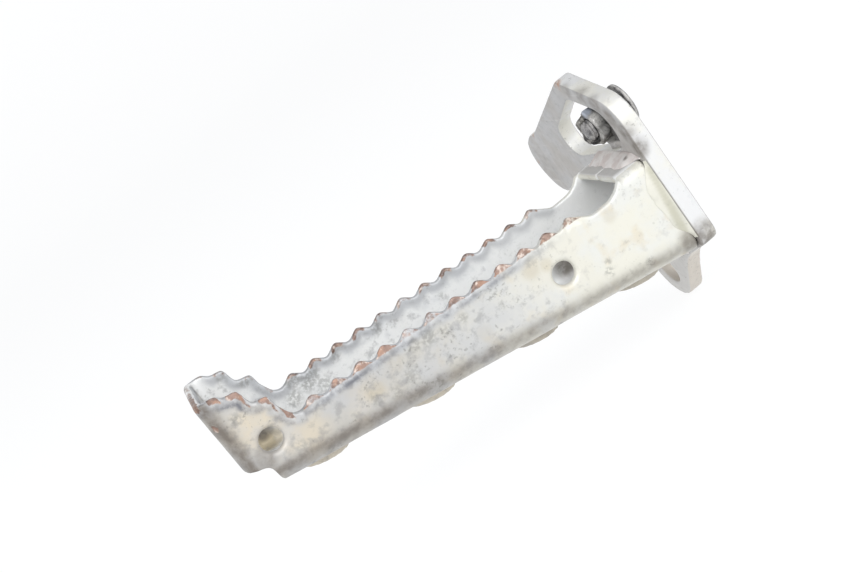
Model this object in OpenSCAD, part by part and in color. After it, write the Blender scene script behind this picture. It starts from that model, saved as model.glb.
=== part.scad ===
// Rigid foot peg: a pressed steel channel with serrated side walls, welded to a thick
// mounting plate that bolts to the frame. A small bolt and nut stay captive in the
// plate's window. +X points from the peg's tip to the frame, +Y along the plate towards
// its ear, +Z up. The origin is on the plate's rear face, on the channel's centre plane.

/* [Channel] */
// Width over the two side walls
channel_w = 33.5; // [30:0.5:38]
// Thickness of the pressed sheet
sheet_t = 2.5; // [2:0.1:3]
// Distance from the plate's rear face to the outside of the end wall
reach = 139.3; // [137:0.1:142]
// Slope of the web, which rises towards the tip
web_slope = 10.9; // [10:0.1:12]
// Depth of the web's underside below the origin, at the plate's rear face
web_depth = 17.8; // [17:0.1:19]
// Outer radius of the long bends between web and walls
bend_r = 5.5; // [4:0.5:6.5]
// Outer radius of the upright bends between end wall and side walls
tip_bend_r = 5; // [3.5:0.5:6]

/* [Serrations] */
// Number of teeth in the straight row of each wall
tooth_count = 12; // [12:1:12]
// Distance from tooth to tooth
tooth_pitch = 7.5; // [7.4:0.05:7.6]
// Height from valley to tooth tip
tooth_h = 2.1; // [1.5:0.1:2.4]
// Slope of the row, which rises towards the tip
row_slope = 4.8; // [4:0.1:5.5]

/* [Holes in the channel] */
// Diameter of the two cross holes through both side walls
cross_d = 6.5; // [5:0.1:8]
// Diameter of the drain holes in the web
drain_d = 11; // [8:0.5:12]
// Depth of the lip round each drain hole, below the web
lip_depth = 3; // [1.5:0.1:4]

/* [Mounting plate] */
// Thickness of the plate
plate_t = 5.5; // [5:0.1:6]
// Diameter of the fixing hole in the lug
lug_hole_d = 10.5; // [8.5:0.1:11]

/* [Captive bolt] */
// Thread diameter of the bolt
bolt_d = 6; // [5:1:6]
// Diameter of the bolt's flat head
head_d = 12.6; // [11:0.1:14]
// Distance that the bolt can slide
bolt_travel = 4.3; // [2:0.1:5]
// Width of the nut across its flats
nut_af = 10; // [8:0.5:10]
// Thickness of the keeper, the sheet that holds the bolt in the window
keeper_t = 1.2; // [1:0.1:1.4]

/* [Hidden] */

STEEL = [0.78, 0.78, 0.74];
WELD = [0.62, 0.56, 0.52];
DARK = [0.22, 0.21, 0.20];
$fn = 64;
OVER = 1;                   // how far a cutting tool runs past the face it cuts
ARC_STEP = 15;              // angle between the points of an outline's round corner

half_w = channel_w / 2;
front_x = -plate_t;         // the plate's front face
tip_x = -reach;             // the outside of the end wall
flap_top = 14.7;            // top of the folded flaps next to the plate
flap_len = 8.7;             // how far the flaps reach out from the plate
flap_bend_r = 4;            // outer radius of the flaps' folds
flap_gap = 0.8;             // open seam between the two flaps

row_x = -31.7;              // first tooth's tip, next to the plate
row_z = 15;

// Positions of the cross holes, [x, z]
CROSS_HOLES = [[-41.1, 3.6], [-128.6, 19.5]];
drain_count = 4;
drain_pitch = 33.2;         // along the web
drain_start = 22;           // along the web, from the plate's rear face
drain_lip_t = 2;            // wall of the lip

// The captive bolt's axis, [y, z]
BOLT = [1.2, 25.3];
nut_t = 5.2;                // thickness of the nut
nut_clear = 0.2;            // between nut and keeper
bolt_end = -8.8;            // the bolt's threaded end
head_t = 1.3;               // thickness of the bolt's head
fit_clear = 0.05;           // radial clearance of the bolt in the nut
keeper_hole_clear = 0.1;    // radial clearance of the bolt in the keeper

// The lug's hole, [y, z]
LUG = [23.4, -28.9];
LUG_R = 10.3;               // radius of the lug round its hole

// Outlines are closed loops of corner circles, [x, y, r], in counter-clockwise order.
// r is positive where the outline turns round the circle from outside, negative in an
// inside corner and 0 at a sharp one. Straight edges run tangent from one to the next.

// Direction of the edge from circle a to circle b
function edge_dir(a, b) =
    atan2(b[1] - a[1], b[0] - a[0])
    + asin((a[2] - b[2]) / norm([b[0] - a[0], b[1] - a[1]]));

// An angle brought between -180 and 180
function wrap(a) = a - 360 * floor((a + 180) / 360);

// The points of corner i
function corner(cs, i) =
    let (
        n = len(cs),
        c = cs[i],
        a_in = edge_dir(cs[(i + n - 1) % n], c) - 90,
        turn = wrap(edge_dir(c, cs[(i + 1) % n]) - 90 - a_in),
        steps = max(1, ceil(abs(turn) / ARC_STEP))
    )
    c[2] == 0
    ? [[c[0], c[1]]]
    : [for (k = [0:steps]) let (a = a_in + turn * k / steps)
        [c[0] + c[2] * cos(a), c[1] + c[2] * sin(a)]];

// The points of corners first to last
function corners(cs, first, last) = [for (i = [first:last]) each corner(cs, i)];

// A point s along the tooth row from the first tooth, away from the plate, and h above it
function on_row(s, h) = [
    row_x - s * cos(row_slope) + h * sin(row_slope),
    row_z + s * sin(row_slope) + h * cos(row_slope)
];
function round_on_row(s, h, r) = concat(on_row(s, h), [r]);

// Height of the tooth row's edge at s: a wave with slightly pointed tips
function tooth_edge(s) =
    let (u = 360 * s / tooth_pitch)
    tooth_h / 2 * (cos(u) + 0.07 * cos(3 * u) - 0.75);

// Height of the web's underside at x
function web_z(x) = -web_depth - x * tan(web_slope);

flank = 1.9;                // where the row's end teeth leave the wave, from their tips
row_len = (tooth_count - 1) * tooth_pitch;
ROW_STEPS = 10 * tooth_count; // straight pieces along the row
row_step = (row_len + 2 * flank) / ROW_STEPS;
heel_x = tip_x + 7.8;       // where the web's underside meets the notch below the tip

// Corner circles of the side walls' outline, in X and Z
WALL = [
    [front_x, web_z(front_x), 0],
    [front_x, flap_top, 0],
    [front_x - flap_len + 0.6, flap_top - 0.6, 0.6],
    [-20.6, 18.6, -7.5],
    [-24.6, 14.6, -3.5],
    round_on_row(-flank, tooth_edge(flank), 0),
    round_on_row(row_len + flank, tooth_edge(flank), 0),
    round_on_row(row_len + 4.2, 1.2, -3),
    round_on_row(row_len + 7.2, 3.1, -1.2),
    round_on_row(row_len + 10, 5.4, 1.2),
    round_on_row(row_len + 12.3, 8.3, -1.3),
    round_on_row(row_len + 15.6, 10.9, 1.2),
    round_on_row(row_len + 17.9, 13.9, -1.5),
    round_on_row(row_len + 21.1, 12.3, 1.8),
    [tip_x + 1.1, 37.3, 1],
    [tip_x + 1.5, 16.9, 1.5],
    [tip_x + 4, 12.3, -2.4],
    [heel_x, web_z(heel_x) + 1.25, 1.2]
];
FIRST_FLANK = 5;            // the corner in WALL where the tooth row starts

module wall_outline() {
    polygon(concat(
        corners(WALL, 0, FIRST_FLANK),
        [for (i = [1:ROW_STEPS - 1]) let (s = -flank + i * row_step) on_row(s, tooth_edge(s))],
        corners(WALL, FIRST_FLANK + 1, len(WALL) - 1)
    ));
}

// A flat outline in X and Z, made solid across the channel
module across(w) {
    translate([0, w / 2, 0]) rotate([90, 0, 0]) linear_extrude(w) children();
}

BIG = 60;                   // further up or down than anything of the channel

// Plan of the walls, inset by the sheet on the inside
module plan(inset) {
    r = tip_bend_r - inset;
    w = channel_w - 2 * inset;
    translate([tip_x + inset + r, -w / 2, -BIG]) cube([reach, w, 2 * BIG]);
    translate([tip_x + inset, -w / 2 + r, -BIG]) cube([r + OVER, w - 2 * r, 2 * BIG]);
    for (side = [-1, 1])
        translate([tip_x + inset + r, side * (w / 2 - r), -BIG]) cylinder(r = r, h = 2 * BIG);
}

// Puts what is drawn along +X onto the sloping web, with z = 0 at its underside
module on_web() {
    translate([0, 0, -web_depth]) rotate([0, web_slope, 0]) children();
}

// Everything above the web and its bends, inset by the sheet on the inside
module trough(inset) {
    r = bend_r - inset;
    w = channel_w - 2 * inset;
    len = reach + 2 * BIG;
    on_web() translate([-reach - BIG, 0, inset]) {
        translate([0, -w / 2, r]) cube([len, w, 2 * BIG]);
        translate([0, -w / 2 + r, 0]) cube([len, w - 2 * r, r + OVER]);
        for (side = [-1, 1])
            translate([0, side * (w / 2 - r), r]) rotate([0, 90, 0]) cylinder(r = r, h = len);
    }
}

// Puts what is drawn at the origin at every drain hole in the web
module at_drains() {
    for (i = [0:drain_count - 1])
        on_web() translate([-drain_start - i * drain_pitch, 0, 0]) children();
}

// A drain hole's lip, pressed down out of the web
module drain_lip() {
    translate([0, 0, -lip_depth])
        cylinder(d = drain_d + 2 * drain_lip_t, h = lip_depth + sheet_t);
}

// What is cut away for a drain hole
module drain_cut() {
    translate([0, 0, -lip_depth - OVER])
        cylinder(d = drain_d, h = lip_depth + sheet_t + 2 * OVER);
}

// The two flaps folded in from the side walls, with their folds
module flaps() {
    w = channel_w;
    r = flap_bend_r;
    cut = flap_len + 2 * OVER;
    difference() {
        union() {
            translate([0, -w / 2 + r, -r]) cube([flap_len, w - 2 * r, r]);
            translate([0, -w / 2, -2 * r]) cube([flap_len, w, r]);
            for (side = [-1, 1])
                translate([0, side * (w / 2 - r), -r]) rotate([0, 90, 0])
                    cylinder(r = r, h = flap_len);
        }
        translate([-OVER, -w / 2 + r, -2 * r]) cube([cut, w - 2 * r, 2 * r - sheet_t]);
        translate([-OVER, -w / 2 + sheet_t, -2 * r - OVER])
            cube([cut, w - 2 * sheet_t, r + OVER]);
        for (side = [-1, 1])
            translate([-OVER, side * (w / 2 - r), -r]) rotate([0, 90, 0])
                cylinder(r = r - sheet_t, h = cut);
        translate([-OVER, -flap_gap / 2, -2 * r]) cube([cut, flap_gap, 2 * r + OVER]);
    }
}

module peg_channel() {
    color(STEEL) difference() {
        union() {
            difference() {
                intersection() {
                    across(channel_w + 2 * OVER) wall_outline();
                    plan(0);
                    trough(0);
                }
                intersection() {
                    plan(sheet_t);
                    trough(sheet_t);
                }
                // room for the folded flaps
                translate([front_x - flap_len, -half_w - OVER, flap_top - flap_bend_r])
                    cube([flap_len + OVER, channel_w + 2 * OVER, 2 * flap_bend_r]);
            }
            translate([front_x - flap_len, 0, flap_top]) flaps();
            at_drains() drain_lip();
        }
        at_drains() drain_cut();
        for (p = CROSS_HOLES)
            translate([p[0], half_w + OVER, p[1]]) rotate([90, 0, 0])
                cylinder(d = cross_d, h = channel_w + 2 * OVER);
    }
}

// Corner circles of the plate's outline, in Y and Z
PLATE = [
    [-15.1, -12.6, 3.5],
    [-14.2, -48.4, -30],
    [LUG[0], LUG[1], LUG_R],
    [48.5, -13, -14],
    [65.7, 8.7, 10.9],
    [65.6, 19.2, 1.3],
    [60.4, 22.1, -0.8],
    [9.9, 36.4, 4],
    [-9.6, 25.2, 9]
];

// Corner circles of the window, in Y and Z
WINDOW = [
    [-2.6, 23.9, 7],
    [29.2, 19.6, 5.6],
    [9, 27.3, 6.7]
];

// A flat outline in Y and Z, made solid from x = from to x = to
module through_plate(from, to) {
    translate([from, 0, 0]) rotate([90, 0, 90]) linear_extrude(to - from) children();
}

module mount_plate() {
    color(STEEL) difference() {
        through_plate(front_x, 0) polygon(corners(PLATE, 0, len(PLATE) - 1));
        through_plate(front_x - OVER, OVER) polygon(corners(WINDOW, 0, len(WINDOW) - 1));
        translate([front_x - OVER, LUG[0], LUG[1]]) rotate([0, 90, 0])
            cylinder(d = lug_hole_d, h = plate_t + 2 * OVER);
    }
}

side_leg = 1.85;            // how far the upright beads stand out from the side walls
side_reach = 2.6;           // how far they run along the side walls
side_low = web_z(front_x) + bend_r;
side_high = flap_top - flap_bend_r;

// An upright bead in the corner between a side wall and the plate
module side_bead(side, leg) {
    translate([front_x, side * half_w, side_low]) mirror([0, side < 0 ? 1 : 0, 0])
        linear_extrude(side_high - side_low)
            polygon([[0, 0], [0, leg], [-side_reach * 0.45, leg * 0.75], [-side_reach, 0]]);
}

module weld_near_side() {
    color(WELD) side_bead(-1, side_leg);
}

module weld_far_side() {
    color(WELD) side_bead(1, side_reach);
}

under_leg = 3.2;            // size of the bead under the web, where the plate runs on down
under_from = -5;            // the bead's ends, in Y
under_to = 11.5;

module weld_under_web() {
    color(WELD) translate([0, (under_from + under_to) / 2, 0]) across(under_to - under_from)
        polygon([
            [front_x, web_z(front_x)],
            [front_x - under_leg, web_z(front_x - under_leg)],
            [front_x - under_leg * 0.3, web_z(front_x) - under_leg * 0.65],
            [front_x, web_z(front_x) - under_leg]
        ]);
}

top_bead_h = 1.9;           // height of the bead on the flaps
top_bead_l = 5;             // how far it reaches along them
top_bead_w = 31;            // its length across the channel

module weld_top() {
    color(WELD) across(top_bead_w)
        polygon([
            [front_x, flap_top],
            [front_x, flap_top + top_bead_h],
            [front_x - top_bead_l * 0.5, flap_top + top_bead_h * 0.85],
            [front_x - top_bead_l, flap_top]
        ]);
}

keeper_side = 5.3;          // how far the keeper runs past the bolt's axis, towards the ear

// The keeper: a sheet that fills the window's end away from the ear, flush with the
// plate's rear face
module bolt_keeper() {
    color(STEEL) difference() {
        through_plate(-keeper_t, 0) intersection() {
            polygon(corners(WINDOW, 0, len(WINDOW) - 1));
            translate([BOLT[0] + keeper_side - BIG, 0]) square(BIG);
        }
        translate([-keeper_t - OVER, BOLT[0], BOLT[1]]) rotate([0, 90, 0])
            cylinder(d = bolt_d + 2 * keeper_hole_clear, h = keeper_t + 2 * OVER);
    }
}

tack_leg = 0.9;             // size of the short beads on the keeper
tack_len = 5;

// Height at y of the straight edge from circle a to circle b
function edge_z(a, b, y) =
    let (dir = edge_dir(a, b), z = a[1] - a[2] * cos(dir))
    z + (y - a[0] - a[2] * sin(dir)) * tan(dir);

// The window's lower and upper edge at the bolt, in Z
WINDOW_EDGES = [
    edge_z(WINDOW[0], WINDOW[1], BOLT[0]),
    edge_z(WINDOW[2], WINDOW[0], BOLT[0])
];

// The two short beads that hold the keeper to the window's edges
module keeper_tacks() {
    color(WELD) intersection() {
        through_plate(-keeper_t - 2 * tack_leg, -keeper_t)
            polygon(corners(WINDOW, 0, len(WINDOW) - 1));
        for (z = WINDOW_EDGES)
            translate([-keeper_t, BOLT[0] + tack_len / 2, z]) rotate([90, 0, 0])
                cylinder(r = tack_leg, h = tack_len);
    }
}

module captive_bolt() {
    color(DARK) translate([0, BOLT[0], BOLT[1]]) rotate([0, 90, 0]) {
        translate([0, 0, bolt_end]) cylinder(d = bolt_d, h = bolt_travel - bolt_end + head_t / 2);
        translate([0, 0, bolt_travel]) cylinder(d = head_d, h = head_t);
    }
}

module lock_nut() {
    color(DARK) translate([-keeper_t - nut_clear - nut_t, BOLT[0], BOLT[1]]) rotate([0, 90, 0])
        difference() {
            cylinder(d = nut_af / cos(30), h = nut_t, $fn = 6);
            translate([0, 0, -OVER])
                cylinder(d = bolt_d + 2 * fit_clear, h = nut_t + 2 * OVER);
        }
}

peg_channel();
mount_plate();
weld_near_side();
weld_far_side();
weld_under_web();
weld_top();
bolt_keeper();
keeper_tacks();
captive_bolt();
lock_nut();
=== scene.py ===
"""The looks of a worn foot peg: zinc-plated pressed steel, weld beads and a greasy captive bolt."""

import math

import bmesh
import bpy
import numpy as np
from mathutils import Matrix, Vector, kdtree, noise


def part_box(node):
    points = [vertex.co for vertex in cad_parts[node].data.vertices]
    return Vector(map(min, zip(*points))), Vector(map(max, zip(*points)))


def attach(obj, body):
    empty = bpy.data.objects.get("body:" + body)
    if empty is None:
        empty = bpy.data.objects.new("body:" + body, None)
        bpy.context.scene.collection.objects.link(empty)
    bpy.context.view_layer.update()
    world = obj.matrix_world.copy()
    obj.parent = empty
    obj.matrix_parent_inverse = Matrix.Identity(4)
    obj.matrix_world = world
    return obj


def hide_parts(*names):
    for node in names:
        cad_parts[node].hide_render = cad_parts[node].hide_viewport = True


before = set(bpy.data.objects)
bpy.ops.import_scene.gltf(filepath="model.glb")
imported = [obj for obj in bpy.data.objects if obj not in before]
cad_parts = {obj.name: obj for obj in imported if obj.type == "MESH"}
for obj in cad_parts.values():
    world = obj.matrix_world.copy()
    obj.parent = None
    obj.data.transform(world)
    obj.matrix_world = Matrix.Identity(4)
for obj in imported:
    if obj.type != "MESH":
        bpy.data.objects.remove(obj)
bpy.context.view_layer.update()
scene = bpy.context.scene
MM = 0.001

# Places taken from the CAD nodes, in metres
plate_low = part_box("mount_plate")[0]
peg_low, peg_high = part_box("peg_channel")
bolt_low, bolt_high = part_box("captive_bolt")
front_x = plate_low.x                    # the plate's face on the peg's side
tip_x = peg_low.x
half_w = peg_high.y                      # half of the channel's width
bolt_y = (bolt_low.y + bolt_high.y) / 2
bolt_z = (bolt_low.z + bolt_high.z) / 2

# The tooth row, as in the CAD
ROW_START = Vector((-31.7 * MM, 0, 15 * MM))
ROW_SLOPE = math.radians(4.8)
TOOTH_PITCH = 7.5 * MM
TOOTH_COUNT = 12
TOOTH_HEIGHT = 2.1 * MM
ROW_LENGTH = (TOOTH_COUNT - 1) * TOOTH_PITCH
SHEET = 2.5 * MM
WEB_SLOPE = math.radians(10.9)
WEB_AT_PLATE = -17.8 * MM                # height of the web's underside where x is 0

# Mesh sizes of the pieces made by worn_copy
PEG_VOXEL = 0.42 * MM
KEEPER_VOXEL = 0.25 * MM
NUT_VOXEL = 0.24 * MM


# ---------------------------------------------------------------- meshes

def add_object(name, mesh):
    obj = bpy.data.objects.new(name, mesh)
    scene.collection.objects.link(obj)
    return obj


def mesh_from(name, verts, faces):
    mesh = bpy.data.meshes.new(name)
    mesh.from_pydata([tuple(v) for v in verts], [], faces)
    mesh.validate()
    bm = bmesh.new()
    bm.from_mesh(mesh)
    bmesh.ops.recalc_face_normals(bm, faces=bm.faces)
    bm.to_mesh(mesh)
    bm.free()
    return add_object(name, mesh)


def ring_faces(rings, around):
    """The faces between neighbouring rings, each of as many points as around says."""
    faces = []
    for i in range(rings - 1):
        for j in range(around):
            n = (j + 1) % around
            faces.append((i * around + j, i * around + n, (i + 1) * around + n, (i + 1) * around + j))
    return faces


def apply_modifier(obj, kind, **settings):
    """Adds a modifier, and puts its result into the object's own mesh."""
    modifier = obj.modifiers.new(kind, kind)
    for key, value in settings.items():
        setattr(modifier, key, value)
    depsgraph = bpy.context.evaluated_depsgraph_get()
    mesh = bpy.data.meshes.new_from_object(obj.evaluated_get(depsgraph))
    obj.modifiers.clear()
    old = obj.data
    obj.data = mesh
    bpy.data.meshes.remove(old)


def shade_smooth(obj):
    obj.data.polygons.foreach_set("use_smooth", [True] * len(obj.data.polygons))
    obj.data.update()


def worn_copy(name, node, voxel, passes):
    """A fine, even mesh of a CAD node with its edges rounded as by years of use."""
    bm = bmesh.new()
    bm.from_mesh(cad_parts[node].data)
    bmesh.ops.remove_doubles(bm, verts=bm.verts, dist=0.001 * MM)
    mesh = bpy.data.meshes.new(name)
    bm.to_mesh(mesh)
    bm.free()
    obj = add_object(name, mesh)
    apply_modifier(obj, "REMESH", mode="VOXEL", voxel_size=voxel)
    apply_modifier(obj, "SMOOTH", factor=0.5, iterations=passes)
    shade_smooth(obj)
    return obj


def points(obj):
    """The vertices' places and normals, as arrays."""
    count = len(obj.data.vertices)
    place = np.empty(count * 3, np.float32)
    normal = np.empty(count * 3, np.float32)
    obj.data.vertices.foreach_get("co", place)
    obj.data.vertex_normals.foreach_get("vector", normal)
    return place.reshape(-1, 3).astype(float), normal.reshape(-1, 3).astype(float)


def move_points(obj, place):
    obj.data.vertices.foreach_set("co", place.astype(np.float32).ravel())
    obj.data.update()


def set_attribute(obj, name, values):
    attribute = obj.data.attributes.new(name, "FLOAT", "POINT")
    attribute.data.foreach_set("value", np.asarray(values, np.float32))


def smoothstep(low, high, x):
    t = np.clip((x - low) / (high - low), 0, 1)
    return t * t * (3 - 2 * t)


def noise_at(place, size, seed):
    """Smooth noise between about -1 and 1 at each place, with features of that size."""
    shift = Vector((seed * 7.1, seed * 3.7, seed * 5.3))
    return np.array([noise.noise(Vector(p) / size + shift) for p in place])


def roughen(obj, waves, seed):
    """Moves the surface in and a little out: waves is a list of (feature size, height)."""
    place, normal = points(obj)
    for i, (size, height) in enumerate(waves):
        place += normal * (height * (noise_at(place, size, seed + i) - 0.6))[:, None]
    move_points(obj, place)


def finish_piece(obj, body, nodes, material):
    obj.data.materials.clear()
    obj.data.materials.append(material)
    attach(obj, body)
    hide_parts(*nodes)


# ---------------------------------------------------------------- materials

class Look:
    """A material's node tree, with short ways to add nodes to it."""

    def __init__(self, name):
        self.material = bpy.data.materials.new(name)
        self.material.use_nodes = True
        self.tree = self.material.node_tree
        self.shader = self.tree.nodes["Principled BSDF"]
        self.place = self.tree.nodes.new("ShaderNodeTexCoord").outputs["Object"]

    def put(self, socket, value):
        if isinstance(value, bpy.types.NodeSocket):
            self.tree.links.new(value, socket)
        else:
            socket.default_value = value

    def maths(self, operation, a, b=0.0):
        node = self.tree.nodes.new("ShaderNodeMath")
        node.operation = operation
        self.put(node.inputs[0], a)
        self.put(node.inputs[1], b)
        return node.outputs[0]

    def step(self, value, low, high, to_low=0.0, to_high=1.0):
        """A smooth step of value, from to_low at low to to_high at high."""
        node = self.tree.nodes.new("ShaderNodeMapRange")
        node.interpolation_type = "SMOOTHSTEP"
        self.put(node.inputs["Value"], value)
        self.put(node.inputs["From Min"], low)
        self.put(node.inputs["From Max"], high)
        self.put(node.inputs["To Min"], to_low)
        self.put(node.inputs["To Max"], to_high)
        return node.outputs[0]

    def mix(self, factor, a, b):
        node = self.tree.nodes.new("ShaderNodeMix")
        node.data_type = "RGBA"
        self.put(node.inputs["Factor"], factor)
        self.put(node.inputs["A"], a)
        self.put(node.inputs["B"], b)
        return node.outputs["Result"]

    def attribute(self, name):
        node = self.tree.nodes.new("ShaderNodeAttribute")
        node.attribute_name = name
        return node.outputs["Fac"]

    def stretched(self, turn, stretch):
        """The place, turned and squeezed, for streaks."""
        node = self.tree.nodes.new("ShaderNodeMapping")
        self.put(node.inputs["Vector"], self.place)
        node.inputs["Rotation"].default_value = turn
        node.inputs["Scale"].default_value = stretch
        return node.outputs[0]

    def noise(self, size, detail=3.0, roughness=0.55, place=None):
        node = self.tree.nodes.new("ShaderNodeTexNoise")
        self.put(node.inputs["Vector"], place or self.place)
        node.inputs["Scale"].default_value = 1 / size
        node.inputs["Detail"].default_value = detail
        node.inputs["Roughness"].default_value = roughness
        return node.outputs["Fac"]

    def finish(self, colour, roughness, metallic, height=None, depth=0.0):
        self.put(self.shader.inputs["Base Color"], colour)
        self.put(self.shader.inputs["Roughness"], roughness)
        self.put(self.shader.inputs["Metallic"], metallic)
        if height is not None:
            bump = self.tree.nodes.new("ShaderNodeBump")
            bump.inputs["Distance"].default_value = depth
            self.put(bump.inputs["Height"], height)
            self.put(self.shader.inputs["Normal"], bump.outputs[0])
        return self.material


# Colours of the channel's plating, from the plate to the tip, and of what has worn it
CREAM = (0.675, 0.665, 0.595, 1)
WHITE_ZINC = (0.66, 0.665, 0.635, 1)
BLUE_GREY = (0.45, 0.465, 0.49, 1)
TIP_GREY = (0.405, 0.39, 0.372, 1)
# Painted fill light: the inner faces are painted much lighter than the plating, where the recess is in
# shade
INSIDE_PAINTED_LIGHT = (0.86, 0.87, 0.875, 1)
WARM = (0.58, 0.515, 0.405, 1)
TAN = (0.63, 0.565, 0.43, 1)
TAUPE = (0.22, 0.20, 0.185, 1)
MID_GREY = (0.25, 0.25, 0.255, 1)
SPECK = (0.20, 0.20, 0.185, 1)
SMUDGE = (0.15, 0.155, 0.175, 1)
OCHRE = (0.42, 0.35, 0.22, 1)
# Dark dirt, and also the painted shade along the channel's bends
GRIME_AND_SHADE = (0.15, 0.13, 0.11, 1)
RUST = (0.285, 0.187, 0.15, 1)
RUST_DARK = (0.13, 0.075, 0.055, 1)
ORANGE = (0.37, 0.21, 0.14, 1)
BARE = (0.60, 0.52, 0.465, 1)
# Colours of the plate; its face is painted darker than its edges, as painted shade
ROLLED_WARM_SHADED = (0.40, 0.385, 0.37, 1)
ROLLED_COLD_SHADED = (0.43, 0.43, 0.435, 1)
STREAK = (0.56, 0.55, 0.54, 1)
SAWN_COLD = (0.69, 0.695, 0.70, 1)
SAWN_WARM = (0.70, 0.69, 0.64, 1)
# Painted light: the lug's face is painted lighter where the channel shades it
LUG_FACE_PAINTED_LIGHT = (0.62, 0.61, 0.59, 1)
LUG_SIDE = (0.57, 0.52, 0.46, 1)
PLATE_RUST_COLOUR = (0.42, 0.24, 0.16, 1)
# Near black, high on the keeper's sheet
NEAR_BLACK = (0.03, 0.028, 0.026, 1)
# Colours of the welds
PLATED_WELD = (0.60, 0.595, 0.53, 1)
PINKISH = (0.62, 0.56, 0.535, 1)
PINKISH_WHITE = (0.72, 0.69, 0.67, 1)
# Painted shade in the valley between the near bead and the wall
OLIVE_PAINTED_SHADE = (0.43, 0.42, 0.32, 1)
# Colours of the bolt and the nut
BOLT_DARK = (0.13, 0.127, 0.13, 1)
BOLT_LIGHT = (0.36, 0.35, 0.345, 1)
GREASE_BLACK = (0.03, 0.029, 0.028, 1)
GREASE_GREY = (0.24, 0.23, 0.215, 1)
DUST = (0.50, 0.50, 0.46, 1)
# Pale dust on the nut, and a painted highlight on the band of the bolt's head
PALE_DUST_AND_HIGHLIGHT = (0.58, 0.57, 0.55, 1)
# A painted bluish highlight on the nut
BLUISH_PAINTED_HIGHLIGHT = (0.46, 0.50, 0.58, 1)


def specks(look, size, cluster_size, amount):
    """Small ragged dark specks that come in clusters; amount lowers their threshold."""
    cluster = look.step(look.noise(cluster_size, 2), 0.45, 0.66)
    fine = look.noise(size, 3, 0.6)
    raised = look.maths("ADD", fine, look.maths("MULTIPLY", cluster, amount))
    return look.step(raised, 0.65, 0.78)


def plating_colour(look, tip, patches):
    """Cream and white plating, greyer towards the tip, warmer in places, painted light inside."""
    clean = look.mix(look.step(patches, 0.40, 0.60), CREAM, WHITE_ZINC)
    clean = look.mix(look.step(look.noise(7 * MM, 3, 0.5), 0.54, 0.72, 0, 0.55), clean, TAN)
    clean = look.mix(look.maths("MULTIPLY", tip, 0.8), clean, TIP_GREY)
    clean = look.mix(look.attribute("tan"), clean, WARM)
    # painted fill light on the inner faces
    clean = look.mix(look.maths("MULTIPLY", look.attribute("inside"), 0.8), clean, INSIDE_PAINTED_LIGHT)
    clean = look.mix(look.attribute("flap"), clean, TAUPE)
    return look.mix(look.attribute("ochre"), clean, OCHRE)


def blue_grey_over(look, colour, tip, patches, mottle):
    """A blue-grey band below the teeth, and blue-grey patches towards the tip."""
    ragged = look.maths("ADD", look.attribute("edge_mm"), look.maths("MULTIPLY", mottle, 6))
    band = look.maths("MULTIPLY", look.step(ragged, 3.5, 7.5, 1, 0), look.attribute("banded"))
    blotch = look.maths("ADD", patches, look.maths("MULTIPLY", tip, 0.14))
    blue = look.maths("MAXIMUM", look.maths("MULTIPLY", band, 0.78), look.step(blotch, 0.57, 0.74, 0, 0.45))
    return look.mix(blue, colour, BLUE_GREY)


def dirt_over(look, colour, tip, mottle, fine):
    """Grey mottling and specks, smudges close below the teeth, dirt, and painted shade along the bends."""
    cloudy = look.maths("ADD", mottle, look.maths("MULTIPLY", tip, 0.06))
    clouds = look.step(cloudy, 0.54, 0.72, 0, 0.5)
    clouds = look.maths("MULTIPLY", clouds, look.step(tip, 0, 0.4, 0.4, 1))
    colour = look.mix(clouds, colour, MID_GREY)
    smudge = look.maths("MULTIPLY", look.attribute("smudge"), look.attribute("banded"))
    smudge = look.maths("MULTIPLY", smudge, look.step(mottle, 0.36, 0.56, 0.35, 1))
    colour = look.mix(smudge, colour, SMUDGE)
    speckled = look.step(tip, 0.0, 0.5, 0.22, 0.55)
    speckled = look.maths("MULTIPLY", speckled, look.step(look.attribute("inside"), 0, 1, 1, 0.6))
    speckled = look.maths("MULTIPLY", specks(look, 1.1 * MM, 9 * MM, 0.12), speckled)
    colour = look.mix(speckled, colour, SPECK)
    blotches = look.maths("MULTIPLY", look.attribute("blotch"), look.step(fine, 0.40, 0.56))
    colour = look.mix(look.maths("MULTIPLY", blotches, 0.6), colour, SPECK)
    # this mask holds dirt spots and the painted shade along the bends
    grime_and_painted_shade = look.maths("MULTIPLY", look.attribute("grime_and_painted_shade"), look.step(mottle, 0.30, 0.58, 0.7, 1))
    return look.mix(grime_and_painted_shade, colour, GRIME_AND_SHADE)


def torn_rust(look, mottle, fine):
    """How rusty each place is: the attribute with an uneven edge."""
    uneven = look.maths("ADD", look.maths("MULTIPLY", fine, 0.9), look.maths("MULTIPLY", mottle, 0.7))
    return look.step(look.maths("ADD", look.attribute("rust"), uneven), 1.35, 1.75)


def copper_colour(look, mottle):
    """Dark to orange rust with bare, rubbed metal."""
    colour = look.mix(look.step(mottle, 0.40, 0.60), RUST_DARK, RUST)
    colour = look.mix(look.step(look.noise(2.8 * MM, 2), 0.48, 0.66, 0, 0.7), colour, ORANGE)
    return look.mix(look.step(look.noise(1.7 * MM, 3), 0.53, 0.68, 0, 0.85), colour, BARE)


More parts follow.
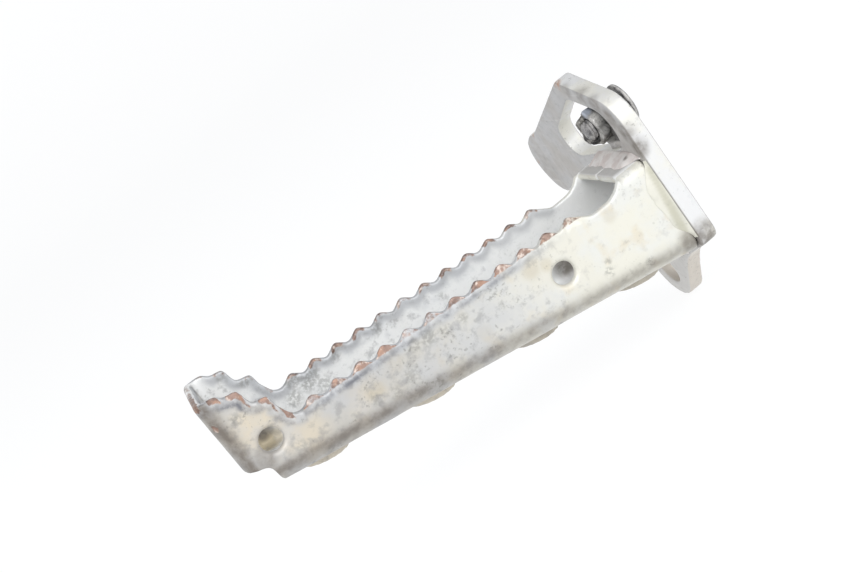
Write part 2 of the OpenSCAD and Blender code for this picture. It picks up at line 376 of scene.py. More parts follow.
def channel_look():
    """Zinc plating gone cream and blue-grey, pitted, rusty along the worn teeth."""
    look = Look("worn_zinc_channel")
    tip = look.attribute("tip")
    patches = look.noise(15 * MM, 4, 0.6)
    mottle = look.noise(3.4 * MM, 5, 0.62)
    fine = look.noise(1.1 * MM, 4, 0.6)
    colour = plating_colour(look, tip, patches)
    colour = blue_grey_over(look, colour, tip, patches, mottle)
    colour = dirt_over(look, colour, tip, mottle, fine)
    rust = torn_rust(look, mottle, fine)
    colour = look.mix(look.maths("MULTIPLY", rust, 0.92), colour, copper_colour(look, mottle))
    worn = look.step(mottle, 0.3, 0.7, 0.42, 0.62)
    roughness = look.maths("SUBTRACT", worn, look.maths("MULTIPLY", rust, 0.08))
    metallic = look.step(rust, 0, 1, 0.3, 0.55)
    height = look.maths("ADD", mottle, look.maths("MULTIPLY", fine, 0.5))
    return look.finish(colour, roughness, metallic, height, 0.05 * MM)


def plate_look():
    """Plated plate: brownish grey rolled face with faint streaks, in painted shade; whiter sawn edges."""
    look = Look("worn_zinc_plate")
    along = look.stretched((math.radians(-52), 0, 0), (1, 0.07, 1))
    streaks = look.noise(2.2 * MM, 3, 0.6, along)
    patches = look.noise(16 * MM, 4, 0.6)
    mottle = look.noise(2.6 * MM, 5, 0.6)
    # the face is painted darker than the edges: painted shade on the face turned from the lights
    face = look.mix(look.step(patches, 0.38, 0.62), ROLLED_WARM_SHADED, ROLLED_COLD_SHADED)
    face = look.mix(look.step(streaks, 0.54, 0.74, 0, 0.55), face, STREAK)
    side = look.mix(look.step(patches, 0.4, 0.6), SAWN_COLD, SAWN_WARM)
    colour = look.mix(look.attribute("rim"), face, side)
    # low down: warm beige sides, and the face painted lighter as painted light under the channel
    low_colour = look.mix(look.attribute("rim"), LUG_FACE_PAINTED_LIGHT, LUG_SIDE)
    colour = look.mix(look.attribute("warm_and_painted_light"), colour, low_colour)
    colour = look.mix(look.step(mottle, 0.58, 0.74, 0, 0.3), colour, MID_GREY)
    colour = look.mix(look.maths("MULTIPLY", specks(look, 0.9 * MM, 12 * MM, 0.09), 0.5), colour, SPECK)
    grime_and_painted_shade = look.maths("MULTIPLY", look.attribute("grime_and_painted_shade"), look.step(mottle, 0.30, 0.62, 0.5, 1))
    colour = look.mix(grime_and_painted_shade, colour, GRIME_AND_SHADE)
    colour = look.mix(look.attribute("blackened"), colour, NEAR_BLACK)
    rusty = look.maths("MULTIPLY", look.attribute("rust"), look.step(mottle, 0.36, 0.52))
    colour = look.mix(rusty, colour, PLATE_RUST_COLOUR)
    roughness = look.step(mottle, 0.3, 0.7, 0.42, 0.60)
    height = look.maths("ADD", mottle, look.maths("MULTIPLY", streaks, 0.6))
    return look.finish(colour, roughness, 0.4, height, 0.04 * MM)


def weld_look():
    """Plated weld: whitish at the sides, pinkish grey where the plating has worn through."""
    look = Look("plated_weld")
    mottle = look.noise(1.6 * MM, 4, 0.6)
    patches = look.noise(5 * MM, 3)
    plated = look.mix(look.step(patches, 0.42, 0.62), CREAM, PLATED_WELD)
    bare = look.mix(look.step(patches, 0.4, 0.6), PINKISH, PINKISH_WHITE)
    colour = look.mix(look.attribute("bare"), plated, bare)
    colour = look.mix(look.step(mottle, 0.58, 0.76, 0, 0.25), colour, MID_GREY)
    # painted olive shade in the valley beside the near bead
    colour = look.mix(look.maths("MULTIPLY", look.attribute("hem_painted_shade"), 0.62), colour, OLIVE_PAINTED_SHADE)
    colour = look.mix(look.maths("MULTIPLY", look.attribute("pit"), 0.85), colour, GRIME_AND_SHADE)
    return look.finish(colour, look.step(mottle, 0.3, 0.7, 0.36, 0.55), 0.4, mottle, 0.05 * MM)


def grease_look(name, dark, light, smoothest):
    """Black steel under dusty old grease, with painted highlights; smoothest is its least roughness."""
    look = Look(name)
    crust = look.noise(2.2 * MM, 4, 0.6)
    dust = look.noise(0.6 * MM, 3, 0.6)
    colour = look.mix(look.step(crust, 0.44, 0.62), dark, light)
    dusty = look.maths("MULTIPLY", look.step(dust, 0.54, 0.68, 0, 0.8), look.step(crust, 0.46, 0.58))
    colour = look.mix(dusty, colour, DUST)
    # pale dust on the nut, and a painted highlight on the bolt's head
    bright = look.maths("MULTIPLY", look.attribute("bright"), look.step(dust, 0.36, 0.50, 0.55, 1))
    colour = look.mix(bright, colour, PALE_DUST_AND_HIGHLIGHT)
    # a painted bluish highlight
    colour = look.mix(look.attribute("blue"), colour, BLUISH_PAINTED_HIGHLIGHT)
    roughness = look.step(crust, 0.35, 0.65, smoothest, 0.65)
    height = look.maths("ADD", crust, look.maths("MULTIPLY", dust, 0.4))
    return look.finish(colour, roughness, 0.35, height, 0.08 * MM)


# ---------------------------------------------------------------- the channel

def row_place(place):
    """Each point's distance along the tooth row and height above it, in metres."""
    dx = ROW_START.x - place[:, 0]
    dz = place[:, 2] - ROW_START.z
    along = dx * math.cos(ROW_SLOPE) + dz * math.sin(ROW_SLOPE)
    above = dz * math.cos(ROW_SLOPE) - dx * math.sin(ROW_SLOPE)
    return along, above


def web_z(x):
    """Height of the web's underside at x."""
    return WEB_AT_PLATE - x * math.tan(WEB_SLOPE)


CROSS_HOLES = ((-41.1, 3.6), (-128.6, 19.5))     # x and z, mm
TEETH_FROM = -27 * MM                    # no tooth is nearer to the plate than this x
GROUND_OFF = 1.0 * MM                    # how much boots have ground off the outer sides
FACET_REACH = 2.4 * MM                   # how far below the edge the ground facets end
# Ground places on the tip's edge: x and half width, mm
TIP_FACETS = ((-138.6, 1.6), (-133.8, 1.8), (-129, 2.2), (-123.8, 1.7), (-121, 1.2))
# Teeth that have kept more plating: side, number from the plate, share of the rust lost
PLATED_TEETH = ((-1, 0, 0.10), (-1, 5, 0.08), (-1, 6, 0.16), (-1, 7, 0.19), (-1, 10, 0.12),
                (-1, 11, 0.15), (1, 0, 0.10), (1, 6, 0.12), (1, 7, 0.14), (1, 11, 0.15))
# Marks on the channel: x, y, z and radius in mm, and strength
NEAR = -16.75                            # y of the near wall's outer face
FAR = 14.25                              # y of the far wall's inner face
RUST_SPOTS = ((-138.1, -15.8, 30.8, 1.9, 1.0), (-138.6, NEAR, 38.4, 1.8, 0.8))
OCHRE_SPOTS = ((-48, NEAR, 10.5, 3.5, 0.35), (-44, NEAR, 9, 2.5, 0.3), (-130.6, 14, 11.0, 5.2, 0.9),
               (-128.0, 14, 10.8, 3.8, 0.75), (-136.8, 2, 28, 9, 0.16), (-100, NEAR, 12, 3, 0.3),
               (-68, NEAR, 5, 3, 0.25), (-22, NEAR, 8, 2.5, 0.25), (-136, 0, 16, 8, 0.4))
TAN_SPOTS = ((-129, NEAR, 25, 10, 0.9), (-122, NEAR, 15, 9, 0.7), (-103, NEAR, 10, 7, 0.4))
BLOTCHES = ((-30.9, NEAR, -4.2, 1.9, 0.8), (-29.6, NEAR, -1.5, 1.3, 0.7), (-20.0, NEAR, -9.5, 1.7, 1.0),
            (-29.1, NEAR, -9.1, 1.3, 0.5), (-85.5, NEAR, 2.6, 1.7, 0.9), (-80.4, NEAR, 14.2, 3.0, 0.9),
            (-84.6, NEAR, 14.6, 2.2, 0.8), (-76, NEAR, 12.6, 2.2, 0.6), (-90, NEAR, 9, 3.2, 0.6),
            (-96, NEAR, 8, 2.6, 0.6), (-70, NEAR, 12, 1.8, 0.7), (-101, NEAR, 10, 2.6, 0.6),
            (-132.4, NEAR, 29.7, 2.2, 0.8), (-124, NEAR, 13.4, 2.4, 0.5), (-118, NEAR, 22, 3, 0.6),
            (-60, NEAR, 8, 1.6, 0.6), (-106, NEAR, 20.5, 2.5, 0.7), (-43, NEAR, 14, 1.5, 0.5),
            (-114.5, FAR, 21, 3.6, 1.0), (-111.5, FAR, 17.2, 3.6, 0.9), (-117, FAR, 16, 3.0, 0.8),
            (-124.5, FAR, 29, 2.6, 0.9), (-129, FAR, 34, 2.2, 0.6), (-109, FAR, 18, 3.0, 0.8),
            (-101, FAR, 18, 2.2, 0.7), (-87, FAR, 17, 2.0, 0.7), (-57, FAR, 16.6, 1.8, 0.7),
            (-82.4, FAR, 14.8, 1.5, 0.5), (-66.7, FAR, 11.7, 1.5, 0.6), (-108, FAR, 14, 3.0, 0.7))
GRIME_SPOTS = ((-7, NEAR, -13.0, 5.5, 0.75), (-133, NEAR, 16.5, 4.5, 0.6), (-32.5, 14.3, -4.4, 5.0, 0.9),
               (-130.2, 14.3, 13.8, 2.4, 1.0), (-128, 14.3, 13.6, 1.8, 0.7))


def spots_at(place, spots):
    """How strongly each point lies in one of the spots."""
    total = np.zeros(len(place))
    for x, y, z, radius, strength in spots:
        away = np.linalg.norm(place - np.array((x, y, z)) * MM, axis=1)
        total = np.maximum(total, strength * smoothstep(radius * 1.15 * MM, radius * 0.35 * MM, away))
    return total


def distance_to(place, targets):
    """Each point's distance to the nearest target point."""
    tree = kdtree.KDTree(len(targets))
    for i, p in enumerate(targets):
        tree.insert(p, i)
    tree.balance()
    return np.array([tree.find(p)[2] for p in place])


def wear_teeth(place, on_teeth):
    """Wears every tooth down and bends it sideways by its own small amount."""
    along, above = row_place(place)
    rise = np.clip(above + TOOTH_HEIGHT, 0, None) * on_teeth
    tooth = np.clip(np.round(along / TOOTH_PITCH), 0, TOOTH_COUNT - 1)
    side = np.sign(place[:, 1])
    worn = np.array([noise.noise(Vector((t * 1.7, s * 3.1, 0.5))) for t, s in zip(tooth, side)])
    place[:, 2] -= rise * (0.10 + 0.12 * worn)
    place[:, 1] += rise * 0.10 * np.sin(tooth * 2.4 + side)


def dish_holes(place):
    """Dishes the rims of the cross holes slightly."""
    for hole_x, hole_z in CROSS_HOLES:
        away = np.hypot(place[:, 0] - hole_x * MM, place[:, 2] - hole_z * MM)
        dish = smoothstep(4.6 * MM, 3.2 * MM, away) * (np.abs(place[:, 1]) > half_w - 1.2 * MM)
        place[:, 1] -= np.sign(place[:, 1]) * dish * 0.35 * MM


class ChannelSkin:
    """The channel's points, with what its wear and its colours depend on."""

    def __init__(self, obj, on_teeth):
        self.place, self.normal = points(obj)
        self.x, self.y, self.z = self.place.T
        self.along, self.above = row_place(self.place)
        self.on_teeth = on_teeth
        self.at_tip = smoothstep(ROW_LENGTH + 2 * MM, ROW_LENGTH + 5 * MM, self.along)
        self.outward = np.sign(self.y) * self.normal[:, 1]
        self.outer = smoothstep(0.2, 0.6, self.outward) * (self.x < TEETH_FROM)
        floor = (self.normal[:, 2] > 0.6) & (np.abs(self.y) < half_w - SHEET)
        self.inside = np.maximum(smoothstep(0.2, 0.7, -self.outward), floor)
        self.height = self.z - web_z(self.x)
        self.lips = smoothstep(0.2 * MM, -0.6 * MM, self.height)
        # distance to the sawn upper edge, and a share that is 1 at the teeth's peaks
        self.edge = distance_to(self.place, self.place[self.on_upper_edge()])
        self.ragged = noise_at(self.place, 1.8 * MM, 41)
        wavy = self.along + 0.7 * self.ragged * MM
        self.teeth = 0.5 + 0.5 * np.cos(2 * math.pi * wavy / TOOTH_PITCH)
        self.on_facet = self.ground_places()

    def on_upper_edge(self):
        cut = (np.abs(self.normal[:, 1]) < 0.45) & (self.normal[:, 2] > 0.15)
        cut &= (self.x < TEETH_FROM) & (self.above > -4.5 * MM)
        cut &= (np.abs(self.y) > half_w - SHEET - 0.3 * MM) | (self.x < tip_x + SHEET + 0.3 * MM)
        for hole_x, hole_z in CROSS_HOLES:
            cut &= np.hypot(self.x - hole_x * MM, self.z - hole_z * MM) > 4.5 * MM
        return cut

    def ground_places(self):
        """Where boots have ground the edge: at the teeth's peaks, and in places at the tip."""
        from_peak = np.full(len(self.place), 1.0)
        for peak, width in TIP_FACETS:
            from_peak = np.minimum(from_peak, np.abs(self.x / MM - peak + 0.5 * self.ragged) / width)
        at_peaks = smoothstep(0.10, 0.62, self.teeth) * self.on_teeth
        return np.maximum(at_peaks, self.at_tip * smoothstep(1.0, 0.6, from_peak))


def grind(obj, skin):
    """Grinds the outer sides near the edge down to slanting facets."""
    rise = np.clip(1 - skin.edge / FACET_REACH, 0, 1)
    limit = half_w - GROUND_OFF * skin.on_facet * rise
    skin.place[:, 1] = np.sign(skin.y) * np.minimum(np.abs(skin.y), limit)
    move_points(obj, skin.place)


def rust_on(skin):
    """Copper-coloured facets and edges, apart from what the plated teeth have kept."""
    facet = skin.on_teeth * smoothstep(-2.5 * MM, -1.7 * MM, skin.above) * (skin.teeth > 0.02)
    facet = np.maximum(facet, skin.at_tip * skin.on_facet * smoothstep(2.0 * MM, 1.2 * MM, skin.edge))
    rim = skin.on_facet * smoothstep(1.5 * MM, 0.5 * MM, skin.edge + 0.4 * skin.ragged * MM)
    rim *= 0.95 - 0.25 * skin.at_tip * smoothstep(-6 * MM, 6 * MM, skin.y)
    rust = np.maximum(facet * skin.outer, rim)
    tooth = np.round(skin.along / TOOTH_PITCH)
    for side, number, loss in PLATED_TEETH:
        rust = rust * (1 - loss * skin.on_teeth * (tooth == number) * (np.sign(skin.y) == side))
    return np.maximum(rust, spots_at(skin.place, RUST_SPOTS))


def off_end_wall(skin):
    """0 on the inner face of the tip's end wall, and 1 elsewhere."""
    return np.maximum(1 - skin.inside, smoothstep(tip_x + 4 * MM, tip_x + 8 * MM, skin.x))


def smudges_on(skin):
    """Dark smudges along the foot of the teeth, and along the tip's edge."""
    below_teeth = -skin.above / MM - 3.1
    below_edge = skin.edge / MM - 2.5 + 0.9 * (1 - skin.outer)
    below = np.where(skin.on_teeth & (skin.outer > 0.5), below_teeth, below_edge)
    smudge = np.exp(-(below / 0.85) ** 2) * (skin.above > -6 * MM)
    patchy = smoothstep(-0.25, 0.35, noise_at(skin.place, 9 * MM, 43))
    return smudge * np.maximum(1 - 0.55 * skin.inside, 0) * (0.55 + 0.45 * patchy) * off_end_wall(skin)


def flaps_on(skin):
    """The folded flaps at the plate, apart from their ends at the walls."""
    flap = smoothstep(-17 * MM, -15 * MM, skin.x) * smoothstep(13.5 * MM, 15.5 * MM, skin.z)
    return flap * smoothstep(14.5 * MM, 11 * MM, np.abs(skin.y)) * 0.9


def bend_painted_shade(skin):
    """Painted shade along the long bends: it lies higher towards the tip, and is darker there."""
    to_tip = smoothstep(-35 * MM, -62 * MM, skin.x)
    off = skin.height / MM - 3.2 - 0.8 * to_tip
    width = np.where(off > 0, 2.2 - 0.2 * to_tip, 2.0 + 0.5 * to_tip)
    band = np.exp(-(off / width) ** 2)
    band *= 0.58 + 0.04 * to_tip + 0.20 * smoothstep(-78 * MM, -108 * MM, skin.x)
    band *= skin.outward + np.clip(-skin.normal[:, 2], 0, 1) > 0.2
    return band * (np.abs(skin.y) > half_w - 8 * MM)


def tip_painted_shade(skin):
    """Painted shade along the upright bends at the tip."""
    from_tip = skin.x - tip_x
    band = np.exp(-((from_tip - 2.3 * MM) / (2.2 * MM)) ** 2) * 0.94
    band *= skin.outward - skin.normal[:, 0] > 0.2
    return band * (np.abs(skin.y) > half_w - 7 * MM)


def build_channel():
    obj = worn_copy("channel", "peg_channel", PEG_VOXEL, 12)
    place = points(obj)[0]
    along = row_place(place)[0]
    on_teeth = (along > -0.5 * TOOTH_PITCH) & (along < ROW_LENGTH + 0.5 * TOOTH_PITCH)
    wear_teeth(place, on_teeth)
    dish_holes(place)
    move_points(obj, place)
    skin = ChannelSkin(obj, on_teeth)
    grind(obj, skin)
    place, x = skin.place, skin.x
    lip_grime = skin.lips * 0.36 * smoothstep(-84 * MM, -55 * MM, x)
    set_attribute(obj, "edge_mm", skin.edge / MM)
    set_attribute(obj, "rust", rust_on(skin))
    set_attribute(obj, "inside", skin.inside)
    set_attribute(obj, "tan", np.maximum(spots_at(place, TAN_SPOTS), skin.lips * 0.6))
    set_attribute(obj, "smudge", smudges_on(skin))
    set_attribute(obj, "flap", flaps_on(skin))
    banded = np.maximum(smoothstep(-31 * MM, -56 * MM, x), skin.inside * 0.65)
    set_attribute(obj, "banded", banded * off_end_wall(skin))
    set_attribute(obj, "tip", smoothstep(-18 * MM, -108 * MM, x) * (1 - 0.55 * skin.inside))
    set_attribute(obj, "ochre", spots_at(place, OCHRE_SPOTS))
    set_attribute(obj, "blotch", spots_at(place, BLOTCHES))
    # dirt spots, and painted shade along the bends
    grime_and_shade_masks = [bend_painted_shade(skin), tip_painted_shade(skin), spots_at(place, GRIME_SPOTS), lip_grime]
    set_attribute(obj, "grime_and_painted_shade", np.maximum.reduce(grime_and_shade_masks))
    roughen(obj, [(9 * MM, 0.07 * MM), (2.4 * MM, 0.025 * MM)], 1)
    finish_piece(obj, "peg", ["peg_channel"], channel_look())


# ---------------------------------------------------------------- the plate and the keeper

# Marks on the plate: x, y, z and radius in mm, and strength
PLATE_GRIME = ((-3.5, -18.6, -13.5, 6, 0.75), (-5.5, -15, -14, 5, 0.7), (-5.5, 5, 37.5, 3, 0.4),
               (-5.5, -3, 35.5, 4, 0.45), (-5.5, -9, 32.5, 3.5, 0.6), (-5.5, -13.5, 28, 4, 0.6),
               (-5.5, -16.5, 23, 4, 0.65), (-5.5, -18, 18, 4, 0.8), (-3, 66, 8, 9, 0.2))
PLATE_RUST = ((-5.5, 9, 39.8, 2.2, 0.8), (-5.5, 61, 21, 1.6, 0.5), (-5.5, 74, 10, 1.5, 0.4))


def build_plate(material):
    obj = worn_copy("plate", "mount_plate", PEG_VOXEL, 28)
    place, normal = points(obj)
    set_attribute(obj, "rim", smoothstep(0.80, 0.40, np.abs(normal[:, 0])))
    # warm sides and painted light on the face, low on the lug
    set_attribute(obj, "warm_and_painted_light", smoothstep(-14 * MM, -24 * MM, place[:, 2]) * 0.75)
    set_attribute(obj, "grime_and_painted_shade", spots_at(place, PLATE_GRIME))
    set_attribute(obj, "rust", spots_at(place, PLATE_RUST))
    roughen(obj, [(11 * MM, 0.05 * MM), (2.0 * MM, 0.02 * MM)], 4)
    finish_piece(obj, "peg", ["mount_plate"], material)


# Above this height the keeper is painted near black on its front and side faces
KEEPER_CLEAN = 18.9 * MM                 # below this height the sheet is only dusty
HEAP_FROM = 6.1 * MM                     # the dirt starts this far from the bolt's axis


def heap_dirt(place, normal):
    """Heaps dirt and grease in the window's end, clear of the turning nut."""
    from_bolt = np.hypot(place[:, 1] - bolt_y, place[:, 2] - bolt_z)
    beside = (place[:, 1] < bolt_y) | (place[:, 2] < bolt_z - 4 * MM)
    heap = smoothstep(HEAP_FROM, HEAP_FROM + 0.9 * MM, from_bolt) * beside * (normal[:, 0] < -0.3)
    # in mm, and half as deep towards the ear
    deep = 3.2 - 1.6 * smoothstep(3.6 * MM, 6.6 * MM, place[:, 1])
    place[:, 0] -= heap * (deep + 0.4 * noise_at(place, 1.6 * MM, 31)) * MM


def build_keeper(material):
    """The sheet in the window's end, under the bolt's grease."""
    obj = worn_copy("keeper", "bolt_keeper", KEEPER_VOXEL, 3)
    place, normal = points(obj)
    heap_dirt(place, normal)
    move_points(obj, place)
    place, normal = points(obj)
    set_attribute(obj, "rim", smoothstep(0.75, 0.35, np.abs(normal[:, 0])))
    set_attribute(obj, "warm_and_painted_light", np.full(len(place), 0.3))
    set_attribute(obj, "grime_and_painted_shade", np.full(len(place), 0.25))
    above_clean = smoothstep(KEEPER_CLEAN, KEEPER_CLEAN + 0.8 * MM, place[:, 2])
    set_attribute(obj, "blackened", smoothstep(0.6, 0.0, normal[:, 0]) * 0.93 * above_clean)
    set_attribute(obj, "rust", np.zeros(len(place)))
    finish_piece(obj, "peg", ["bolt_keeper"], material)


# ---------------------------------------------------------------- weld beads

BEAD_ARC = 18                            # sides of a bead's rounded section
BEAD_STEP = 0.22 * MM                    # length of a bead's mesh along it
BEAD_SUNK = 0.35 * MM                    # how far a bead reaches into its corner
RIPPLE_PITCH = 1.7 * MM


def bead_shape(start, end, side_a, side_b, leg_a, leg_b, seed, swell=1.3, ripple=0.08, run_out=2.0,
               kept_a=0.0):
    """Points and faces of one bead in the corner between two surfaces. It runs from start to
    end along the corner, and side_a and side_b point away from the corner along them. swell
    sets how full its section is: 1 is round, 2 flat. run_out is the length in mm over which
    its ends thin out, and kept_a the least share of leg_a there."""
    start, end, side_a, side_b = (Vector(v) for v in (start, end, side_a, side_b))
    length = (end - start).length
    steps = max(12, int(length / BEAD_STEP))
    verts = []
    for i in range(steps + 1):
        t = i / steps
        root = start.lerp(end, t)
        share = min(1.0, min(t, 1 - t) * length / (run_out * MM))
        taper = 0.12 + 0.88 * share * share * (3 - 2 * share)
        verts.append(root - (side_a + side_b) * BEAD_SUNK)
        for k in range(BEAD_ARC + 1):
            turn = k / BEAD_ARC * math.pi / 2
            crescent = 1.1 * (k / BEAD_ARC - 0.5) ** 2
            phase = t * length / RIPPLE_PITCH + crescent
            wave = 1 + ripple * (phase % 1 - 0.5) * math.sin(k / BEAD_ARC * math.pi)
            lump = noise.noise(root / (3.6 * MM) + Vector((seed, k * 0.11, 0)))
            size = taper * wave * (1 + 0.16 * lump)
            a = leg_a * min(1, max(size, kept_a)) * math.cos(turn) ** swell
            b = leg_b * size * math.sin(turn) ** swell
            verts.append(root + side_a * a + side_b * b)
    ring = BEAD_ARC + 2
    faces = ring_faces(steps + 1, ring)
    faces.append(tuple(range(ring - 1, -1, -1)))
    faces.append(tuple(range(steps * ring, (steps + 1) * ring)))
    return verts, faces


# A pit in the top bead, and painted olive shade beside the near one: x, y, z, radius (mm), strength
WELD_PIT = (-7.6, -11.0, 16.4, 1.1, 1.0)
HEM_PAINTED_SHADE = [(-6.7 + 0.1 * z, -17.2, z, 1.5, 0.95) for z in range(-10, 12)]


def add_beads(name, node, beads, material, bare):
    verts, faces = [], []
    for bead in beads:
        more, loops = bead_shape(**bead)
        faces += [tuple(i + len(verts) for i in loop) for loop in loops]
        verts += more
    obj = mesh_from(name, verts, faces)
    shade_smooth(obj)
    place = points(obj)[0]
    set_attribute(obj, "bare", np.full(len(place), bare))
    set_attribute(obj, "pit", spots_at(place, [WELD_PIT]))
    # painted shade beside the near bead
    set_attribute(obj, "hem_painted_shade", spots_at(place, HEM_PAINTED_SHADE))
    finish_piece(obj, "peg", [node], material)


def add_side_beads(material):
    """The two upright beads: flat and plated, and feathered out past the CAD welds' ends."""
    for node, side, seed in (("weld_near_side", -1, 2), ("weld_far_side", 1, 5)):
        low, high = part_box(node)
        corner_y = side * half_w
        add_beads(node.replace("weld", "bead"), node, [dict(
            start=(front_x, corner_y, low.z - 1.0 * MM), end=(front_x, corner_y, high.z + 3.2 * MM),
            side_a=(0, side, 0), side_b=(-1, 0, 0), leg_a=0.78 * (high.y - low.y),
            leg_b=1.5 * (high.x - low.x), seed=seed, swell=2.2, ripple=0.03, run_out=7.5, kept_a=0.97)],
            material, 0)


def add_top_bead(material):
    low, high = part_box("weld_top")
    add_beads("bead_top", "weld_top", [dict(
        start=(front_x, low.y, low.z), end=(front_x, high.y, low.z),
        side_a=(0, 0, 1), side_b=(-1, 0, 0), leg_a=high.z - low.z, leg_b=high.x - low.x,
        seed=8, swell=1.7, ripple=0.012, run_out=5)], material, 1)


def add_bead_under_web(material):
    low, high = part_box("weld_under_web")
    leg = high.x - low.x
    corner_z = high.z - leg * math.tan(WEB_SLOPE)
    add_beads("bead_under_web", "weld_under_web", [dict(
        start=(front_x, low.y, corner_z), end=(front_x, high.y, corner_z), side_a=(0, 0, -1),
        side_b=(-math.cos(WEB_SLOPE), 0, math.sin(WEB_SLOPE)),
        leg_a=leg, leg_b=leg, seed=11)], material, 1)


def add_keeper_beads(material):
    """The two tacks along the window's upper and lower edge, which aren't quite level."""
    sheet_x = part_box("bolt_keeper")[0].x
    low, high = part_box("keeper_tacks")
    leg = high.x - low.x
    add_beads("keeper_beads", "keeper_tacks", [dict(
        start=(sheet_x, low.y, z - rise), end=(sheet_x, high.y, z + rise),
        side_a=(0, 0, -up), side_b=(-1, 0, 0), leg_a=leg, leg_b=leg, seed=14 + up)
        for z, rise, up in ((high.z - 0.6 * MM, 0.6 * MM, 1), (low.z + 0.2 * MM, -0.2 * MM, -1))],
        material, 1)


def build_welds():
    material = weld_look()
    add_side_beads(material)
    add_top_bead(material)
    add_bead_under_web(material)
    add_keeper_beads(material)


# ---------------------------------------------------------------- bolt and nut

BOLT_RADIUS = 3 * MM
BOLT_SIDES = 72
THREAD_PITCH = 1 * MM
THREAD_DEPTH = 0.45 * MM
THREAD_END = 2.25 * MM                   # the shank's radius where its end chamfer starts
head_x = bolt_high.x - 1.3 * MM          # the head's inner face
head_t = bolt_high.x - head_x
head_r = (bolt_high.y - bolt_low.y) / 2
# Shares of the head's thickness and radius: rounded rims with a groove around the edge
HEAD_PROFILE = ((0, 0.50), (0, 0.95), (0.05, 0.985), (0.16, 1.0), (0.38, 1.0), (0.44, 0.985),
                (0.56, 0.985), (0.62, 1.0), (0.80, 0.99), (0.92, 0.965), (1.0, 0.92), (1.0, 0.30))


def bolt_rings():
    """Each ring's x, and its radius, or None where the ring is cut by the thread."""
    rings = []
    x = bolt_low.x
    while x < head_x:
        rings.append((x, None))
        x += THREAD_PITCH / 12
    for share_x, share_r in HEAD_PROFILE:
        rings.append((head_x + share_x * head_t, share_r * head_r))
    return rings


def thread_radius(x, share):
    """The thread's radius at x, a share of a turn around it."""
    turn = ((x - bolt_low.x) / THREAD_PITCH + share) % 1
    r = BOLT_RADIUS - THREAD_DEPTH * abs(2 * turn - 1) ** 0.8
    return min(r, THREAD_END + (x - bolt_low.x))


def build_bolt():
    """A fully threaded bolt with a flat round head, turned from a profile along X."""
    rings = bolt_rings()
    verts = []
    for x, radius in rings:
        for j in range(BOLT_SIDES):
            angle = 2 * math.pi * j / BOLT_SIDES
            r = thread_radius(x, j / BOLT_SIDES) if radius is None else radius
            verts.append((x, bolt_y + r * math.cos(angle), bolt_z + r * math.sin(angle)))
    faces = ring_faces(len(rings), BOLT_SIDES)
    faces.append(tuple(range(BOLT_SIDES)))
    last = (len(rings) - 1) * BOLT_SIDES
    faces.append(tuple(range(last + BOLT_SIDES - 1, last - 1, -1)))
    obj = mesh_from("bolt", verts, faces)
    shade_smooth(obj)
    place = points(obj)[0]
    # a painted highlight on the band between the head's two rims
    from_groove = np.abs(place[:, 0] - (head_x + 0.5 * head_t))
    set_attribute(obj, "bright", smoothstep(0.22 * head_t, 0.08 * head_t, from_groove) * 0.9)
    set_attribute(obj, "blue", np.zeros(len(place)))
    material = grease_look("bolt_steel", BOLT_DARK, BOLT_LIGHT, 0.22)
    finish_piece(obj, "bolt", ["captive_bolt"], material)


# Dusty spots, and a painted bluish highlight, on the nut: x, y, z and radius in mm, and strength
NUT_DUST = ((-5.8, -3, 27.6, 3.2, 1.0), (-5.4, -3, 24.0, 2.2, 0.65), (-6.6, -1.8, 22.8, 2.0, 0.6))
NUT_PAINTED_HIGHLIGHT = ((-5.7, 0.2, 30.4, 2.2, 0.85),)
LUMP_TURN = math.radians(15)             # the lump's middle lies this far below level
LUMP_DEPTH = 1.9                         # mm


def build_nut():
    """The nut with rounded corners, caked with old grease on the outside."""
    obj = worn_copy("nut", "lock_nut", NUT_VOXEL, 4)
    place, normal = points(obj)
    out = np.hypot(place[:, 1] - bolt_y, place[:, 2] - bolt_z)
    caked = smoothstep(3.4 * MM, 4.2 * MM, out)
    crust = noise_at(place, 3.0 * MM, 21) + 0.4 * noise_at(place, 1.2 * MM, 23)
    place += normal * (caked * (0.34 * crust - 0.12) * MM)[:, None]
    # a lump of grease hangs on the front, beside the bolt's end
    turned = np.arctan2(place[:, 2] - bolt_z, place[:, 1] - bolt_y) + LUMP_TURN
    lump = smoothstep(math.radians(80), math.radians(50), np.abs(turned)) * (normal[:, 0] < -0.5)
    lump *= smoothstep(3.4 * MM, 3.9 * MM, out) * smoothstep(6.1 * MM, 4.9 * MM, out)
    place[:, 0] -= lump * (LUMP_DEPTH + 0.5 * crust) * MM
    move_points(obj, place)
    set_attribute(obj, "bright", spots_at(place, NUT_DUST) * (1 - lump))
    set_attribute(obj, "blue", spots_at(place, NUT_PAINTED_HIGHLIGHT))
    material = grease_look("nut_grease", GREASE_BLACK, GREASE_GREY, 0.30)
    finish_piece(obj, "nut", ["lock_nut"], material)


# ---------------------------------------------------------------- studio

CAMERA_AT = Vector((-120.8, -364.8, 117.0)) * MM
CAMERA_AZIMUTH = math.radians(-7.96)
CAMERA_ELEVATION = math.radians(14.76)
CAMERA_ROLL = math.radians(-37.28)
FOCAL_MM = 58.6


def build_camera():
    data = bpy.data.cameras.new("camera")
    data.lens = FOCAL_MM
    data.sensor_width = 36
    data.clip_start = 0.01
    camera = bpy.data.objects.new("camera", data)
    turn = (Matrix.Rotation(CAMERA_AZIMUTH, 4, "Z")
            @ Matrix.Rotation(math.pi / 2 - CAMERA_ELEVATION, 4, "X")
            @ Matrix.Rotation(CAMERA_ROLL, 4, "Z"))
    camera.matrix_world = Matrix.Translation(CAMERA_AT) @ turn
    scene.collection.objects.link(camera)
    scene.camera = camera


LIGHT_DISTANCE = 0.9
AIM = Vector((-0.06, 0, 0.01))           # about the middle of the object
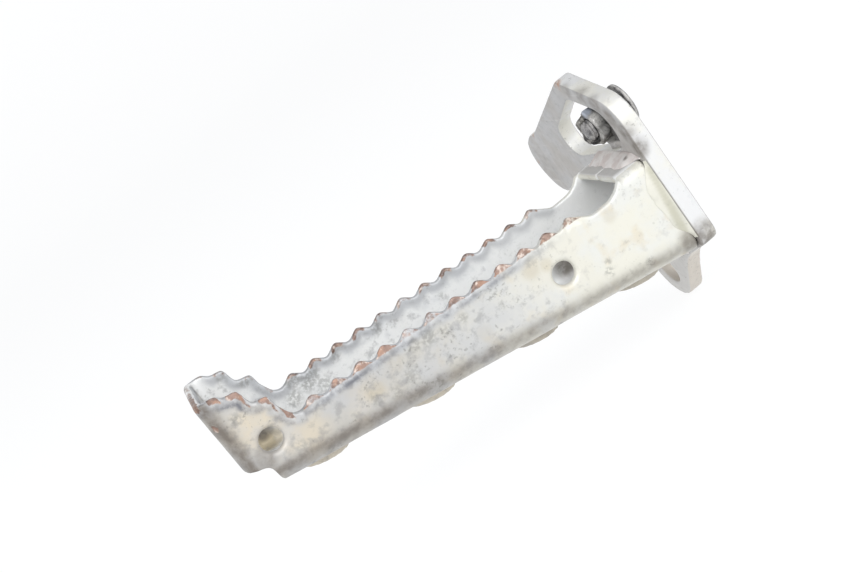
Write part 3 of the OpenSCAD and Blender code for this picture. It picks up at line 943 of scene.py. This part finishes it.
# Name, direction, size in m and power in W
SOFTBOXES = (("key", (0.10, -0.76, 0.64), 0.7, 4.3), ("fill", (-0.48, -0.62, 0.62), 0.5, 2.3),
             ("end", (-0.88, -0.10, 0.47), 0.5, 1.6), ("side", (0.70, -0.65, 0.30), 0.5, 1.2))


def add_softbox(name, direction, size, power):
    """A square soft light that faces the object from a direction."""
    data = bpy.data.lights.new(name, "AREA")
    data.size = size
    data.energy = power
    light = bpy.data.objects.new(name, data)
    way = Vector(direction).normalized()
    light.location = AIM + way * LIGHT_DISTANCE
    light.rotation_euler = way.to_track_quat("Z", "Y").to_euler()
    scene.collection.objects.link(light)


FLOOR_GLOW = 0.87                        # the pale floor is lit evenly, almost to white
GLOW_COLOUR = (0.985, 0.99, 1, 1)
PAPER = (0.18, 0.18, 0.175, 1)
SKY = (0.97, 0.98, 1, 1)
SKY_STRENGTH = 0.5
# Radius and height of the floor's rings, in metres
BOWL = ((1.9, 0.0), (2.1, 0.02), (2.3, 0.10), (2.45, 0.25), (2.5, 0.45), (2.5, 0.75))
BOWL_SIDES = 64


def build_floor():
    """A wide, pale floor whose far rim curves up, so that no horizon shows."""
    low = plate_low.z - 1 * MM
    verts = []
    for radius, height in BOWL:
        for j in range(BOWL_SIDES):
            angle = 2 * math.pi * j / BOWL_SIDES
            verts.append((radius * math.cos(angle), radius * math.sin(angle), low + height))
    faces = [tuple(range(BOWL_SIDES))] + ring_faces(len(BOWL), BOWL_SIDES)
    floor = mesh_from("floor", verts, faces)
    shade_smooth(floor)
    paper = Look("pale_floor")
    paper.shader.inputs["Emission Color"].default_value = GLOW_COLOUR
    paper.shader.inputs["Emission Strength"].default_value = FLOOR_GLOW
    paper.shader.inputs["Specular IOR Level"].default_value = 0
    floor.data.materials.append(paper.finish(PAPER, 1.0, 0.0))


def build_studio():
    build_floor()
    world = bpy.data.worlds.new("studio")
    world.use_nodes = True
    background = world.node_tree.nodes["Background"]
    background.inputs["Color"].default_value = SKY
    background.inputs["Strength"].default_value = SKY_STRENGTH
    scene.world = world
    scene.view_settings.view_transform = "Standard"
    for softbox in SOFTBOXES:
        add_softbox(*softbox)
    build_camera()


build_channel()
plate_steel = plate_look()
build_plate(plate_steel)
build_keeper(plate_steel)
build_welds()
build_bolt()
build_nut()
build_studio()
